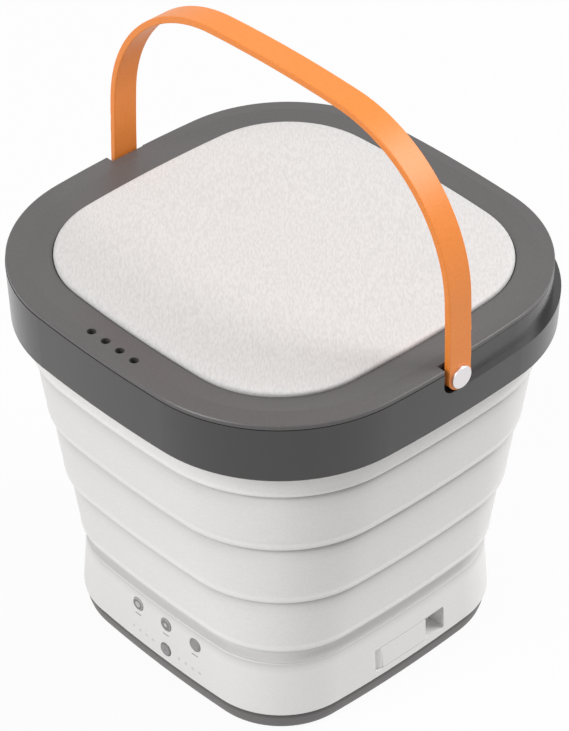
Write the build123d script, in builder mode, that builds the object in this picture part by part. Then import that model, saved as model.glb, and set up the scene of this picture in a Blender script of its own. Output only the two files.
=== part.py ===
from build123d import *
import math
import os

os.makedirs("parts", exist_ok=True)

# Foldable washing machine. Origin under the middle of the base, +Z up, controls on -Y, drain spout on +X.
# Every ring has the same kind of outline: a square with slightly bowed sides and large round corners.
side_bow_radius = 850.0
bowl_steps = 6          # rings in a curved underside

# Clearances
running_gap = 0.05      # a shaft in its bore
press_gap = 0.02        # a piece pressed or screwed home
seat_gap = 0.3          # faces that lie on each other but come apart
slide_gap = 0.4         # one bellows band inside the next
swing_gap = 0.6         # the handle beside the lid, round the whole swing

# Heights, from the table up
foot_proud = 1.0
cover_height = 14.0
seam_gap = 0.6
shell_height = 38.4
neck_height = 8.6
band_pitch = 45.0
collar_height = 22.9
rim_height = 35.5
ledge_drop = 15.5       # from the rim's top down to the ledge that the folded handle lies on
lid_plate = 2.7
panel_proud = 1.5

cover_bottom = foot_proud
seam = cover_bottom + cover_height
shell_bottom = seam + seam_gap
shell_top = shell_bottom + shell_height
crease_low = shell_top + neck_height
crease_middle = crease_low + band_pitch
crease_high = crease_middle + band_pitch
crease_top = crease_high + band_pitch
rim_bottom = crease_top + collar_height
rim_top = rim_bottom + rim_height
ledge = rim_top - ledge_drop
lid_bottom = rim_top + seat_gap
frame_top = lid_bottom + lid_plate
panel_top = frame_top + panel_proud

# Bellows lip: each band steps in over the next one
lip_rise = 12.0         # height of the rounded shoulder
lip_edge = 1.2          # height of the lip's small lower edge
wall_draw = 3.0         # how much the straight wall narrows
shoulder_draw = 6.2     # how much it has narrowed at the lip
lip_draw = 7.0
lip_overlap = 2.7       # how far a band's top stands up behind the lip above it
band_step = lip_draw + 0.5 + slide_gap

# Steps between the outlines, from the rim down to the foot
rim_taper = 1.4
recess_depth = 5.0
panel_margin = 28.4     # from the rim's outside in to the lid's panel
collar_margin = 8.3     # from the rim's outside in to the bellows, with the clamp ring between
band_margin = 3.0       # from the collar in to the widest band
neck_step = 11.9        # from the lowest band in to the neck
shell_step = 1.7        # from the neck out to the shell's top edge
shell_draft = 1.6
seam_step = 0.9
cover_draw = 6.0        # how far the foot curves in, from its upright top edge down to the floor

# How much smaller each corner radius is than the half width, which sets the length of the flat sides
rim_flat = 46.9
panel_flat = 49.9
bellows_flat = 43.3
neck_flat = 48.8
shell_top_flat = 48.3
shell_flat = 52.4
band_corner_rate = 1.2  # the corners tighten a little faster than the bands narrow

# Half widths across the flats, and corner radii
rim_half = 140.0
rim_corner = rim_half - rim_flat
rim_lower_half = rim_half - rim_taper
rim_lower_corner = rim_corner - rim_taper
panel_half = rim_half - panel_margin
panel_corner = panel_half - panel_flat
collar_half = rim_lower_half - collar_margin
collar_corner = collar_half - bellows_flat
band_half = collar_half - band_margin
band_corner = band_half - bellows_flat
neck_half = band_half - 2 * band_step - neck_step
neck_corner = neck_half - neck_flat
shell_top_half = neck_half + shell_step
shell_top_corner = shell_top_half - shell_top_flat
shell_half = shell_top_half + shell_draft
foot_corner = shell_half - shell_flat
seam_half = shell_half - seam_step

# Wall thicknesses
cover_wall = 2.6
shell_wall = 2.6
floor_wall = 2.6
band_wall = 2.3
rim_wall = 2.6

# Screws
small_screw_radius = 1.25
small_head_radius = 2.2
small_head_height = 1.8
screw_radius = 1.75
screw_head_radius = 3.3
screw_head_height = 2.2


def side_bow(along):
    """How far a bowed side has fallen back, at a place along it."""
    return side_bow_radius - math.sqrt(side_bow_radius ** 2 - along ** 2)


def corner_turn(half_width, corner):
    """The angle at which a side meets its corner, seen from the side's own centre."""
    reach = (side_bow_radius - half_width) / (side_bow_radius - corner)
    return math.acos(reach / math.sqrt(2)) - math.pi / 4


def corner_centre(half_width, corner):
    return (side_bow_radius - corner) * math.sin(corner_turn(half_width, corner))


def rounded_square(half_width, corner):
    turn = corner_turn(half_width, corner)
    centre = corner_centre(half_width, corner)
    side_end = Vector(centre + corner * math.cos(turn), centre + corner * math.sin(turn))
    side_start = Vector(side_end.X, -side_end.Y)
    corner_middle = Vector(1, 1) * (centre + corner / math.sqrt(2))
    corner_end = Vector(side_end.Y, side_end.X)
    with BuildSketch() as outline:
        with BuildLine():
            for quarter in range(4):
                angle = 90 * quarter
                side = [side_start, Vector(half_width, 0), side_end]
                bend = [side_end, corner_middle, corner_end]
                ThreePointArc(*[point.rotate(Axis.Z, angle) for point in side])
                ThreePointArc(*[point.rotate(Axis.Z, angle) for point in bend])
        make_face()
    return outline.sketch


def stack(levels):
    """A solid through rounded squares, each given as height, half width and corner radius."""
    with BuildPart() as body:
        for height, half_width, corner in levels:
            with BuildSketch(Plane.XY.offset(height)):
                add(rounded_square(half_width, corner))
        loft(ruled=True)
    return body.part


def bowl(low, high, half_width, corner, draw):
    """A solid whose sides stand upright at the top and curve in below, by a quarter of an ellipse."""
    levels = []
    for step in range(bowl_steps + 1):
        angle = math.pi / 2 * step / bowl_steps
        inset = draw * (1 - math.sin(angle))
        levels.append((high - (high - low) * math.cos(angle), half_width - inset, corner - inset))
    return stack(levels)


def prism(low, high, half_width, corner):
    """A straight solid with a rounded-square outline."""
    return stack([(low, half_width, corner), (high, half_width, corner)])


def ring(low, high, outer_half, inner_half, outer_corner):
    """A straight ring whose inside runs parallel to its outside."""
    with BuildPart() as body:
        add(prism(low, high, outer_half, outer_corner))
        add(prism(low, high, inner_half, outer_corner - outer_half + inner_half), mode=Mode.SUBTRACT)
    return body.part


def tube(low, high, outer_radius, inner_radius):
    """A round ring on the machine's centre line."""
    with BuildPart() as body:
        with BuildSketch(Plane.XY.offset(low)):
            Circle(outer_radius)
            Circle(inner_radius, mode=Mode.SUBTRACT)
        extrude(amount=high - low)
    return body.part


def columns(plane, spots, radius, length):
    """Round columns that stand on a plane."""
    with BuildPart() as body:
        with BuildSketch(plane):
            with Locations(*spots):
                Circle(radius)
        extrude(amount=length)
    return body.part


def block(low, high):
    """A box between two opposite corners."""
    size = Vector(*high) - Vector(*low)
    with BuildPart() as body:
        with Locations((Vector(*low) + Vector(*high)) * 0.5):
            Box(size.X, size.Y, size.Z)
    return body.part


def screw_set(seat, spots, head_radius, head_height, shank_radius, shank_length):
    """Socket screws that drive along the plane's normal, with their heads seated on the plane."""
    with BuildPart() as screws:
        with BuildSketch(seat):
            with Locations(*spots):
                Circle(head_radius)
        extrude(amount=-head_height)
        with BuildSketch(seat):
            with Locations(*spots):
                Circle(shank_radius)
        extrude(amount=shank_length)
        with BuildSketch(seat.offset(-head_height)):
            with Locations(*spots):
                RegularPolygon(head_radius * 0.5, 6)
        extrude(amount=head_height * 0.6, mode=Mode.SUBTRACT)
    return screws.part


def square_spots(half_x, half_y):
    return [(half_x, half_y), (-half_x, half_y), (-half_x, -half_y), (half_x, -half_y)]


def side_spots(half_width, offset):
    """Two spots on each of the four sides of an outline."""
    distance = half_width - side_bow(offset)
    spots = []
    for along in (-offset, offset):
        spots += [(distance, along), (-distance, along), (along, distance), (along, -distance)]
    return spots


def corner_spots(half_width, corner):
    """A spot in the middle of each corner of an outline."""
    middle = corner_centre(half_width, corner) + corner / math.sqrt(2)
    return square_spots(middle, middle)


def shell_face(height, along):
    """How far the base shell's outside stands from the centre, at a height and a place along the side."""
    rise = (height - shell_bottom) / shell_height
    half_width = shell_half + (shell_top_half - shell_half) * rise
    return half_width - side_bow(along)


shell_levels = [
    (shell_bottom, shell_half, foot_corner),
    (shell_top, shell_top_half, shell_top_corner),
]
shell_inner_levels = [
    (height, half_width - shell_wall, corner - shell_wall) for height, half_width, corner in shell_levels
]

# Places in the base
post_inset = 8.7        # corner screw posts, in from the middle of the corner
post_spot = corner_centre(shell_half, foot_corner) + foot_corner / math.sqrt(2) - post_inset
post_radius = 4.5
post_top = shell_top - shell_wall
cover_boss_top = seam + 2.3
foot_inset = 15.8       # rubber feet, in from the corner posts
foot_spot = post_spot - foot_inset
foot_radius = 9.0
foot_pocket = 1.2

opening_margin = 16.9   # from the shell's outside in to the opening in its top
opening_flat = 48.0
opening_half = shell_half - opening_margin
opening_corner = opening_half - opening_flat
dish_half = opening_half - 0.5
dish_corner = opening_corner - 0.5
floor_drop = 4.0        # from the shell's top down to the tub floor
floor_top = shell_top - floor_drop
floor_bottom = floor_top - floor_wall
flange_bottom = shell_top + band_wall
flange_thick = 5.0
flange_top = flange_bottom + flange_thick
flange_half = neck_half - band_wall - seat_gap
flange_corner = neck_corner - band_wall - seat_gap
bellows_foot_half = opening_half + 2.0
floor_screw_inset = 6.8
floor_screw_half = neck_half - floor_screw_inset
floor_screw_offset = 28.0

# Drive
shaft_radius = 4.0
bearing_radius = 11.0
bearing_height = 7.0
hub_radius = 14.0
hub_top = floor_top + 4.0
seal_radius = 10.0
bearing_top = floor_top - 1.0
bearing_bottom = bearing_top - bearing_height
plate_thick = 1.5
plate_bottom = bearing_bottom - plate_thick
plate_half = 37.0
plate_screw_spot = 30.0
can_radius = 33.0
can_wall = 1.5
can_height = 25.5
can_bottom = plate_bottom - can_height
low_bearing_radius = 8.0
low_bearing_height = 5.0
stator_inner_radius = 22.0
air_gap = 0.6
core_height = 15.0
laminations_low = can_bottom + can_wall + low_bearing_height + 1.0
laminations_high = laminations_low + core_height

# Pulsator
pulsator_margin = 23.5  # from the dish's wall in to the pulsator
pulsator_radius = dish_half - pulsator_margin
pulsator_plate = 3.0
pulsator_bottom = hub_top + 2.0
pulsator_top = pulsator_bottom + pulsator_plate
pulsator_hub_radius = 13.0
pulsator_hub_top = pulsator_top + 5.5
vane_height = 6.5
shaft_top = pulsator_bottom + 2.0
pulsator_web = 2.5

# Controls on the front of the base
controls_x = 6.7
button_spacing = 24.8
button_drop = 11.0      # from the shell's top down to the row of three buttons
power_rise = 8.3        # from the shell's bottom up to the power button
button_row = shell_top - button_drop
power_row = shell_bottom + power_rise
button_radius = 4.3
button_proud = 0.6
button_travel = 0.8
button_flange_radius = 5.7
button_flange = 1.2
board_setback = 11.9
board_face = board_setback - shell_half     # side of the control board that faces the buttons
board_thick = 1.6
board_half_x = 41.0
board_low = shell_bottom + 1.9
board_high = post_top - 2.9
board_screw_x = 37.0
board_screw_low = button_row - 12.0
board_screw_high = button_row + 3.0
switch_half = 3.0
switch_height = 3.5
switch_stem_radius = 1.6
switch_stem = 1.2
light_radius = 1.0
light_first = 11.4      # first indicator light, from the power button's axis
light_pitch = 5.8
lights_per_side = 4

# Drain spout on the right side of the base
spout_left = -22.7
spout_right = 18.0
spout_rise = 4.8        # from the shell's bottom up to the spout
drain_drop = 5.4        # from the tub floor down to the drain tube's axis
drain_height = floor_bottom - drain_drop
spout_low = shell_bottom + spout_rise
spout_high = drain_height - 6.0
spout_gap = 0.4
notch_end = 33.5        # far end of the finger notch
notch_round = 1.6
hinge_radius = 5.5
hinge_gap = 0.6
hinge_x = shell_face((spout_low + spout_high) / 2, spout_left) - hinge_radius
hinge_y = spout_left + hinge_radius
arm_thick = 9.8
sleeve_radius = 3.4
sleeve_bore = 2.3
nipple_bore = 2.0
sleeve_length = 7.4
channel_width = 5.0
channel_height = spout_high - spout_low - 5.6
hinge_pin_radius = 1.5
housing_wall = 1.8
sump_margin = 23.5      # from the dish's wall in to the drain outlet
sump_x = dish_half - sump_margin
nipple_length = 5.0
tube_radius = 5.0

# Handle
strap_width = 17.0
strap_thick = 4.2
strap_inner_half = rim_half - recess_depth + swing_gap
strap_outer_half = strap_inner_half + strap_thick
recess_half = rim_half - recess_depth
recess_corner = rim_corner - recess_depth
pivot_height = ledge + 0.5 + strap_width / 2
recess_front = 12.0     # how far the recess runs in front of the pivot
pivot_shank_radius = 2.5
pivot_head_radius = 7.0
pivot_head_height = 2.0
bush_radius = 3.5
insert_radius = 3.7
lift_clearance = 1.1    # pocket in the lid's edge, where it rises past the upright strap


# Base cover: a shallow dark dish that closes the base from below
tongue_half = shell_half - shell_wall - 0.5
with BuildPart() as base_cover:
    add(bowl(cover_bottom, seam, seam_half, foot_corner, cover_draw))
    inside_bottom = cover_bottom + cover_wall
    add(
        bowl(inside_bottom, seam, seam_half - cover_wall, foot_corner - cover_wall, cover_draw),
        mode=Mode.SUBTRACT,
    )
    add(ring(seam - 4, seam + 1.8, tongue_half, tongue_half - 2.0, foot_corner - shell_wall - 0.5))
    floor_plane = Plane.XY.offset(inside_bottom)
    add(columns(floor_plane, square_spots(post_spot, post_spot), 5.0, cover_boss_top - inside_bottom))
    head_seat = cover_bottom + 1.0 + screw_head_height
    head_recess = (screw_head_radius + 0.3, head_seat - cover_bottom)
    for radius, depth in (head_recess, (screw_radius + 0.2, cover_height * 2)):
        with BuildSketch(Plane.XY.offset(cover_bottom)):
            with Locations(*square_spots(post_spot, post_spot)):
                Circle(radius)
        extrude(amount=depth, mode=Mode.SUBTRACT)
    with BuildSketch(Plane.XY.offset(cover_bottom)):
        with Locations(*square_spots(foot_spot, foot_spot)):
            Circle(foot_radius + 0.2)
    extrude(amount=foot_pocket, mode=Mode.SUBTRACT)
base_cover.part.label = "base_cover"
export_step(base_cover.part, "parts/base_cover.step")

with BuildPart() as rubber_feet:
    with BuildSketch(Plane.XY):
        with Locations(*square_spots(foot_spot, foot_spot)):
            Circle(foot_radius)
    extrude(amount=foot_proud + foot_pocket)
    chamfer(rubber_feet.faces().group_by(Axis.Z)[0].edges(), 0.5)
rubber_feet.part.label = "rubber_feet"
export_step(rubber_feet.part, "parts/rubber_feet.step")

with BuildPart() as base_screws:
    add(
        screw_set(
            Plane.XY.offset(head_seat), square_spots(post_spot, post_spot),
            screw_head_radius, screw_head_height, screw_radius, 24.0,
        )
    )
base_screws.part.label = "base_screws"
export_step(base_screws.part, "parts/base_screws.step")

# Base shell: the white housing ring, with its screw posts, control holes, spout opening and inlet hole
board_spots = [
    (controls_x + side * board_screw_x, height)
    for side in (-1, 1) for height in (board_screw_low, board_screw_high)
]
button_spots = {
    "button_left": (controls_x - button_spacing, button_row),
    "button_middle": (controls_x, button_row),
    "button_right": (controls_x + button_spacing, button_row),
    "button_power": (controls_x, power_row),
}
light_spots = [
    (controls_x + side * (light_first + count * light_pitch), power_row)
    for side in (-1, 1) for count in range(lights_per_side)
]
inlet_x = 38.0
inlet_rise = 14.4
inlet_z = shell_bottom + inlet_rise
inlet_body_radius = 5.5
housing_ear_y = (spout_left - 8.5, notch_end + 8.0)
spout_middle = (spout_low + spout_high) / 2
ear_setback = 7.9
ear_face = shell_half - ear_setback
ear_thick = 2.0
front_plane = Plane(origin=(0, board_face, 0), x_dir=(1, 0, 0), z_dir=(0, -1, 0))
side_plane = Plane(origin=(ear_face + ear_thick, 0, 0), x_dir=(0, 1, 0), z_dir=(1, 0, 0))
with BuildPart() as base_shell:
    add(stack(shell_levels))
    fillet(base_shell.faces().sort_by(Axis.Z)[-1].edges(), 1.5)
    add(
        stack([
            shell_inner_levels[0],
            (post_top, shell_face(post_top, 0) - shell_wall, shell_top_corner - shell_wall),
        ]),
        mode=Mode.SUBTRACT,
    )
    add(prism(post_top, shell_top, opening_half, opening_corner), mode=Mode.SUBTRACT)
    post_plane = Plane.XY.offset(cover_boss_top + 0.2)
    add(columns(post_plane, square_spots(post_spot, post_spot), post_radius, post_top - post_plane.origin.Z))
    with BuildSketch(post_plane):
        with Locations(*square_spots(post_spot, post_spot)):
            Circle(screw_radius + press_gap)
    extrude(amount=16.0, mode=Mode.SUBTRACT)
    with BuildSketch(front_plane):
        with Locations(*board_spots):
            Circle(3.2)
    extrude(amount=shell_face(board_screw_high, board_screw_x + controls_x) - shell_wall / 2 + board_face)
    with BuildSketch(front_plane):
        with Locations(*board_spots):
            Circle(small_screw_radius + press_gap)
    extrude(amount=6.0, mode=Mode.SUBTRACT)
    with BuildSketch(front_plane):
        with Locations(*button_spots.values()):
            Circle(button_radius + seat_gap)
    extrude(amount=20.0, mode=Mode.SUBTRACT)
    with BuildSketch(front_plane):
        with Locations(*light_spots):
            Circle(light_radius + press_gap)
    extrude(amount=20.0, mode=Mode.SUBTRACT)
    with BuildSketch(Plane.YZ.offset(ear_face)) as spout_opening:
        with Locations(((spout_left - hinge_gap + notch_end) / 2, spout_middle)):
            Rectangle(notch_end - spout_left + hinge_gap, spout_high - spout_low + 2 * spout_gap)
        fillet(spout_opening.vertices().group_by(Axis.X)[-1], notch_round)
    extrude(amount=20.0, mode=Mode.SUBTRACT)
    with BuildSketch(side_plane):
        with Locations(*[(along, spout_middle) for along in housing_ear_y]):
            Circle(3.6)
    extrude(amount=4.0)
    with BuildSketch(side_plane):
        with Locations(*[(along, spout_middle) for along in housing_ear_y]):
            Circle(small_screw_radius + press_gap)
    extrude(amount=3.5, mode=Mode.SUBTRACT)
    inlet_face = shell_face(inlet_z, inlet_x)
    inlet_pad = inlet_face - shell_wall - 1.2
    inlet_spot_face = inlet_face - 0.5
    with BuildSketch(Plane.XZ.offset(-inlet_pad)):
        with Locations((inlet_x, inlet_z)):
            Circle(inlet_body_radius + 3.5)
    extrude(amount=inlet_pad - inlet_spot_face)
    with BuildSketch(Plane.XZ.offset(-inlet_pad)):
        with Locations((inlet_x, inlet_z)):
            Circle(inlet_body_radius + press_gap)
    extrude(amount=-10.0, mode=Mode.SUBTRACT)
    with BuildSketch(Plane.XZ.offset(-inlet_spot_face)):
        with Locations((inlet_x, inlet_z)):
            Circle(inlet_body_radius + 2.3)
    extrude(amount=-10.0, mode=Mode.SUBTRACT)
    with BuildSketch(Plane.XY.offset(post_top)):
        with Locations(*side_spots(floor_screw_half, floor_screw_offset)):
            Circle(small_screw_radius + 0.2)
    extrude(amount=shell_wall, mode=Mode.SUBTRACT)
base_shell.part.label = "base_shell"
export_step(base_shell.part, "parts/base_shell.step")

# Tub floor: the dished bottom of the tub, with the drive's hub, motor posts and drain outlet under it
dish_levels = [
    (floor_top, dish_half - floor_wall, dish_corner - floor_wall),
    (flange_bottom, dish_half - floor_wall, dish_corner - floor_wall),
    (flange_top, dish_half, dish_corner),
]
hub_bottom = bearing_bottom
outlet_radius = 7.0
outlet_bottom = drain_height - 5.5
with BuildPart() as tub_floor:
    add(prism(floor_bottom, flange_bottom, dish_half, dish_corner))
    add(prism(flange_bottom, flange_top, flange_half, flange_corner))
    add(stack(dish_levels), mode=Mode.SUBTRACT)
    add(tube(hub_bottom, hub_top, hub_radius, seal_radius))
    add(tube(bearing_top, floor_top, hub_radius, shaft_radius + 2.0))
    with BuildSketch(Plane.XY.offset(hub_bottom)):
        Circle(bearing_radius)
    extrude(amount=bearing_height, mode=Mode.SUBTRACT)
    with BuildSketch(Plane.XY.offset(bearing_top)):
        Circle(shaft_radius + 2.0)
    extrude(amount=hub_top, mode=Mode.SUBTRACT)
    motor_spots = square_spots(plate_screw_spot, plate_screw_spot)
    add(columns(Plane.XY.offset(bearing_bottom), motor_spots, post_radius, floor_bottom - bearing_bottom))
    with BuildSketch(Plane.XY.offset(bearing_bottom)):
        with Locations(*motor_spots):
            Circle(screw_radius + press_gap)
    extrude(amount=floor_bottom - bearing_bottom, mode=Mode.SUBTRACT)
    with BuildSketch(Plane.XY.offset(flange_bottom)):
        with Locations(*side_spots(floor_screw_half, floor_screw_offset)):
            Circle(small_screw_radius + press_gap)
    extrude(amount=flange_thick - 1.0, mode=Mode.SUBTRACT)
    with BuildSketch(Plane.XY.offset(outlet_bottom)):
        with Locations((sump_x, hinge_y)):
            Circle(outlet_radius)
    extrude(amount=floor_bottom - outlet_bottom)
    outlet_plane = Plane(origin=(sump_x, hinge_y, drain_height), x_dir=(0, 1, 0), z_dir=(1, 0, 0))
    with BuildSketch(outlet_plane):
        Circle(sleeve_radius)
    extrude(amount=outlet_radius + nipple_length)
    with BuildSketch(outlet_plane):
        Circle(nipple_bore)
    extrude(amount=outlet_radius + nipple_length, mode=Mode.SUBTRACT)
    sump_bottom = drain_height - sleeve_bore - 0.7
    with BuildSketch(Plane.XY.offset(sump_bottom)):
        with Locations((sump_x, hinge_y)):
            Circle(sleeve_bore + 1.5)
    extrude(amount=floor_top - sump_bottom, mode=Mode.SUBTRACT)
tub_floor.part.label = "tub_floor"
export_step(tub_floor.part, "parts/tub_floor.step")

with BuildPart() as floor_screws:
    add(
        screw_set(
            Plane.XY.offset(post_top), side_spots(floor_screw_half, floor_screw_offset),
            small_head_radius, small_head_height, small_screw_radius, flange_top - post_top - 1.5,
        )
    )
floor_screws.part.label = "floor_screws"
export_step(floor_screws.part, "parts/floor_screws.step")

# Drive: motor under the tub floor, its shaft straight up into the pulsator
with BuildPart() as motor_plate:
    with BuildSketch(Plane.XY.offset(plate_bottom)):
        RectangleRounded(2 * plate_half, 2 * plate_half, 6.0)
        Circle(low_bearing_radius, mode=Mode.SUBTRACT)
        with Locations(*motor_spots):
            Circle(screw_radius + 0.2, mode=Mode.SUBTRACT)
    extrude(amount=plate_thick)
motor_plate.part.label = "motor_plate"
export_step(motor_plate.part, "parts/motor_plate.step")

with BuildPart() as motor_screws:
    add(
        screw_set(
            Plane.XY.offset(plate_bottom), motor_spots,
            screw_head_radius, screw_head_height, screw_radius, floor_bottom - plate_bottom - 0.5,
        )
    )
motor_screws.part.label = "motor_screws"
export_step(motor_screws.part, "parts/motor_screws.step")

terminal_half = 5.0
terminal_front = can_radius + 6.0
lead_height = can_bottom + 17.0
with BuildPart() as motor_can:
    add(tube(can_bottom, plate_bottom, can_radius, can_radius - can_wall))
    add(tube(can_bottom, can_bottom + can_wall, can_radius, shaft_radius + 1.0))
    add(tube(plate_bottom - can_wall, plate_bottom, can_radius, low_bearing_radius))
    cup_top = can_bottom + can_wall + low_bearing_height
    add(tube(can_bottom + can_wall, cup_top, low_bearing_radius + can_wall, low_bearing_radius + press_gap))
    with BuildSketch(Plane.XZ.offset(can_radius - can_wall / 2)):
        with Locations((0, lead_height)):
            Rectangle(2 * terminal_half, 2 * terminal_half)
    extrude(amount=terminal_front - can_radius + can_wall / 2)
motor_can.part.label = "motor_can"
export_step(motor_can.part, "parts/motor_can.step")

with BuildPart() as motor_stator:
    stator_outer_radius = can_radius - can_wall - press_gap
    add(tube(laminations_low, laminations_high, stator_outer_radius, stator_inner_radius))
    with BuildSketch(Plane.XY.offset(laminations_low)):
        with PolarLocations(stator_inner_radius + 3.2, 12):
            SlotOverall(5.0, 3.0)
        with PolarLocations(stator_inner_radius, 12):
            Rectangle(5.0, 1.6)
    extrude(amount=core_height, mode=Mode.SUBTRACT)
motor_stator.part.label = "motor_stator"
export_step(motor_stator.part, "parts/motor_stator.step")

with BuildPart() as motor_rotor:
    rotor_radius = stator_inner_radius - air_gap
    add(tube(laminations_low, laminations_high, rotor_radius, shaft_radius + press_gap))
motor_rotor.part.label = "motor_rotor"
export_step(motor_rotor.part, "parts/motor_rotor.step")

with BuildPart() as shaft_bearings:
    low_bearing_top = can_bottom + can_wall + low_bearing_height
    add(tube(bearing_bottom, bearing_top, bearing_radius - press_gap, shaft_radius + running_gap))
    add(tube(can_bottom + can_wall, low_bearing_top, low_bearing_radius, shaft_radius + running_gap))
shaft_bearings.part.label = "shaft_bearings"
export_step(shaft_bearings.part, "parts/shaft_bearings.step")

with BuildPart() as shaft_seal:
    add(tube(floor_top, hub_top, seal_radius - press_gap, shaft_radius + running_gap))
shaft_seal.part.label = "shaft_seal"
export_step(shaft_seal.part, "parts/shaft_seal.step")

pulsator_screw_radius = 2.0
pulsator_screw_reach = 9.0
with BuildPart() as drive_shaft:
    with BuildSketch(Plane.XY.offset(can_bottom + can_wall)):
        Circle(shaft_radius)
    extrude(amount=shaft_top - can_bottom - can_wall)
    with BuildSketch(Plane.XY.offset(shaft_top)):
        Circle(pulsator_screw_radius + press_gap)
    extrude(amount=-pulsator_screw_reach, mode=Mode.SUBTRACT)
drive_shaft.part.label = "drive_shaft"
export_step(drive_shaft.part, "parts/drive_shaft.step")

# Pulsator: a skirted disc with four curved vanes, held by a screw under a cap
web_top = shaft_top + pulsator_web
cap_radius = 8.0
screw_seat_radius = 6.5
vane_length = pulsator_radius - pulsator_hub_radius - 1.0
with BuildPart() as pulsator:
    add(tube(pulsator_bottom, pulsator_top, pulsator_radius, shaft_radius + press_gap))
    add(tube(floor_top + 1.5, pulsator_bottom, pulsator_radius, pulsator_radius - 2.5))
    with PolarLocations(0, 4):
        with BuildSketch(Plane.XY.offset(pulsator_top)):
            with Locations((pulsator_hub_radius + vane_length / 2 + 2.0, 0)):
                SlotArc(ThreePointArc((-vane_length / 2, -4), (0, 3), (vane_length / 2 - 4, -2)), 6.0)
    extrude(amount=vane_height, taper=14)
    add(tube(pulsator_top, pulsator_hub_top, pulsator_hub_radius, shaft_radius + press_gap))
    with BuildSketch(Plane.XY.offset(shaft_top)):
        Circle(shaft_radius + press_gap)
    extrude(amount=pulsator_web)
    with BuildSketch(Plane.XY.offset(shaft_top)):
        Circle(pulsator_screw_radius + press_gap)
    extrude(amount=pulsator_web, mode=Mode.SUBTRACT)
    with BuildSketch(Plane.XY.offset(web_top)):
        Circle(screw_seat_radius)
    extrude(amount=pulsator_hub_top, mode=Mode.SUBTRACT)
pulsator.part.label = "pulsator"
export_step(pulsator.part, "parts/pulsator.step")

with BuildPart() as pulsator_screw:
    add(
        screw_set(
            Plane(origin=(0, 0, web_top), z_dir=(0, 0, -1)), [(0, 0)],
            4.0, 2.5, pulsator_screw_radius, pulsator_web + pulsator_screw_reach - 1.0,
        )
    )
pulsator_screw.part.label = "pulsator_screw"
export_step(pulsator_screw.part, "parts/pulsator_screw.step")

with BuildPart() as pulsator_cap:
    add(tube(web_top + 1.0, pulsator_hub_top, screw_seat_radius - press_gap, screw_seat_radius - 1.2))
    with BuildSketch(Plane.XY.offset(pulsator_hub_top)):
        Circle(cap_radius + 3.0)
    extrude(amount=2.0)
    fillet(pulsator_cap.faces().sort_by(Axis.Z)[-1].edges(), 1.5)
pulsator_cap.part.label = "pulsator_cap"
export_step(pulsator_cap.part, "parts/pulsator_cap.step")

# Controls: sprung button caps in the shell's holes, each in front of its switch on the board
switch_front = board_face - switch_height - switch_stem
for name, (along, height) in button_spots.items():
    face = shell_face(height, along)
    flange_front = face - shell_wall - seat_gap - 0.2
    front = Plane(origin=(along, -face - button_proud, height), x_dir=(1, 0, 0), z_dir=(0, 1, 0))
    with BuildPart() as button:
        with BuildSketch(front):
            Circle(button_radius)
        extrude(amount=face + button_proud - flange_front)
        fillet(button.faces().sort_by(Axis.Y)[0].edges(), 0.5)
        with BuildSketch(front.offset(face + button_proud - flange_front)):
            Circle(button_flange_radius)
        extrude(amount=button_flange)
        with BuildSketch(front.offset(face + button_proud - flange_front)):
            Circle(switch_stem_radius)
        extrude(amount=flange_front + switch_front - button_travel - seat_gap)
    button.part.label = name
    export_step(button.part, f"parts/{name}.step")

socket_depth = 5.4
lead_socket_z = button_row - 7.0
socket_spots = [(-12.0, lead_socket_z), (26.0, lead_socket_z)]
with BuildPart() as control_board:
    with BuildSketch(front_plane):
        with Locations((controls_x, (board_low + board_high) / 2)):
            Rectangle(2 * board_half_x, board_high - board_low)
        with Locations(*board_spots):
            Circle(small_screw_radius + 0.2, mode=Mode.SUBTRACT)
    extrude(amount=-board_thick)
    with BuildSketch(front_plane.offset(-board_thick)):
        with Locations(*socket_spots):
            Rectangle(10.0, 6.0)
    extrude(amount=-socket_depth)
control_board.part.label = "control_board"
export_step(control_board.part, "parts/control_board.step")

with BuildPart() as board_screws:
    add(
        screw_set(
            front_plane.offset(-board_thick), board_spots,
            small_head_radius, small_head_height, small_screw_radius, 6.5,
        )
    )
board_screws.part.label = "board_screws"
export_step(board_screws.part, "parts/board_screws.step")

with BuildPart() as button_switches:
    with BuildSketch(front_plane):
        with Locations(*button_spots.values()):
            Rectangle(2 * switch_half, 2 * switch_half)
    extrude(amount=switch_height)
    with BuildSketch(front_plane.offset(switch_height)):
        with Locations(*button_spots.values()):
            Circle(switch_stem_radius)
    extrude(amount=switch_stem)
button_switches.part.label = "button_switches"
export_step(button_switches.part, "parts/button_switches.step")

with BuildPart() as indicator_lights:
    for along, height in light_spots:
        with BuildSketch(front_plane):
            with Locations((along, height)):
                Circle(light_radius)
        extrude(amount=shell_face(height, along) + board_face + 0.15)
indicator_lights.part.label = "indicator_lights"
export_step(indicator_lights.part, "parts/indicator_lights.step")

# Power inlet at the back, with its nut inside the shell
inlet_depth = 16.9
inlet_back = shell_half - inlet_depth
inlet_flange = 1.2
inlet_plane = Plane(origin=(inlet_x, inlet_back, inlet_z), x_dir=(-1, 0, 0), z_dir=(0, 1, 0))
with BuildPart() as power_inlet:
    with BuildSketch(inlet_plane):
        Circle(inlet_body_radius)
    extrude(amount=inlet_face - inlet_back + inlet_flange)
    with BuildSketch(inlet_plane.offset(inlet_spot_face - inlet_back + 0.1)):
        Circle(inlet_body_radius + 2.0)
    extrude(amount=inlet_flange + inlet_face - inlet_spot_face - 0.1)
    with BuildSketch(inlet_plane.offset(inlet_face - inlet_back - 9.5)):
        Circle(3.2)
        Circle(1.0, mode=Mode.SUBTRACT)
    extrude(amount=20.0, mode=Mode.SUBTRACT)
    with BuildSketch(inlet_plane.offset(inlet_face - inlet_back - 1.0)):
        Circle(1.2)
    extrude(amount=20.0, mode=Mode.SUBTRACT)
power_inlet.part.label = "power_inlet"
export_step(power_inlet.part, "parts/power_inlet.step")

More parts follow.
